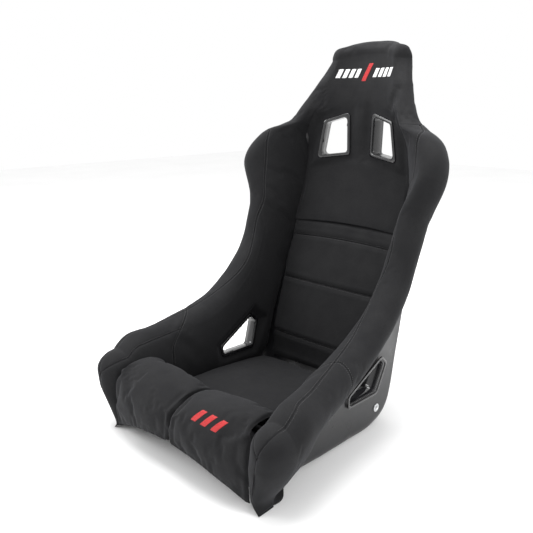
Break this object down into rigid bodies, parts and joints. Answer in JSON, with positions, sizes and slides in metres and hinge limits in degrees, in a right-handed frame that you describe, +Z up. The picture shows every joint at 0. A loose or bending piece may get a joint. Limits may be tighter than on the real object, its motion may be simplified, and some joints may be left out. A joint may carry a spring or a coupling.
{
  "type": "racing seat",
  "caption": "Fixed-back bucket seat with a moulded shell, padded bolsters, harness slots, side mounts and removable cushions.",
  "frame": {"origin": "on the floor plane under the middle of the seat's bounding box", "axes": "+Z up, the occupant faces -Y, +X to the occupant's left, X = 0 is the symmetry plane"},
  "size_m": [0.593, 0.7248, 0.8869],
  "materials": {
    "shell_laminate": "black pigmented glass-fibre laminate, satin gel coat",
    "insert_steel": "bright zinc-plated steel insert",
    "plate_steel": "plain steel backing plate",
    "bezel_plastic": "glossy black moulded plastic",
    "foam": "moulded polyurethane foam under the covers",
    "cover_fabric": "black brushed velour cover fabric",
    "cushion_fabric": "black brushed velour cushion fabric",
    "welt": "black fabric-wrapped edge welt",
    "hook_and_loop": "black hook-and-loop tape"
  },
  "bodies": {
    "seat_structure": {"shell": "shell_laminate", "mount_insert_front_right": "insert_steel", "mount_insert_rear_right": "insert_steel", "mount_insert_front_left": "insert_steel", "mount_insert_rear_left": "insert_steel", "backing_plates": "plate_steel", "shoulder_bezel_right": "bezel_plastic", "shoulder_bezel_left": "bezel_plastic", "shoulder_bezel_rear_right": "bezel_plastic", "shoulder_bezel_rear_left": "bezel_plastic", "lap_bezel_inner_right": "bezel_plastic", "lap_bezel_inner_left": "bezel_plastic", "lap_bezel_outer_right": "bezel_plastic", "lap_bezel_outer_left": "bezel_plastic", "thigh_bolster_foam_right": "foam", "thigh_bolster_foam_left": "foam", "side_bolster_foam_right": "foam", "side_bolster_foam_left": "foam", "shoulder_foam_right": "foam", "shoulder_foam_left": "foam", "thigh_bolster_cover_right": "cover_fabric", "thigh_bolster_cover_left": "cover_fabric", "side_bolster_cover_right": "cover_fabric", "side_bolster_cover_left": "cover_fabric", "upper_back_foam": "foam", "head_foam": "foam", "upper_cover": "cover_fabric", "thigh_foam": "foam", "thigh_cover_right": "cover_fabric", "thigh_cover_left": "cover_fabric", "edge_welt_right": "welt", "edge_welt_left": "welt", "seat_hook_strips": "hook_and_loop", "back_hook_strips": "hook_and_loop"},
    "seat_cushion": {"seat_cushion_foam": "foam", "seat_cushion_cover": "cushion_fabric", "seat_loop_strips": "hook_and_loop"},
    "back_cushion": {"back_cushion_foam": "foam", "back_cushion_cover": "cushion_fabric", "back_loop_strips": "hook_and_loop"}
  },
  "joints": [
    {"name": "seat_cushion_lift", "type": "slide", "parent": "seat_structure", "child": "seat_cushion", "axis": [0, 0, 1], "range_m": [0, 0.1]},
    {"name": "back_cushion_peel", "type": "hinge", "parent": "seat_structure", "child": "back_cushion", "pos_m": [0, 0.128, 0.066], "axis": [1, 0, 0], "range_deg": [0, 8]}
  ]
}
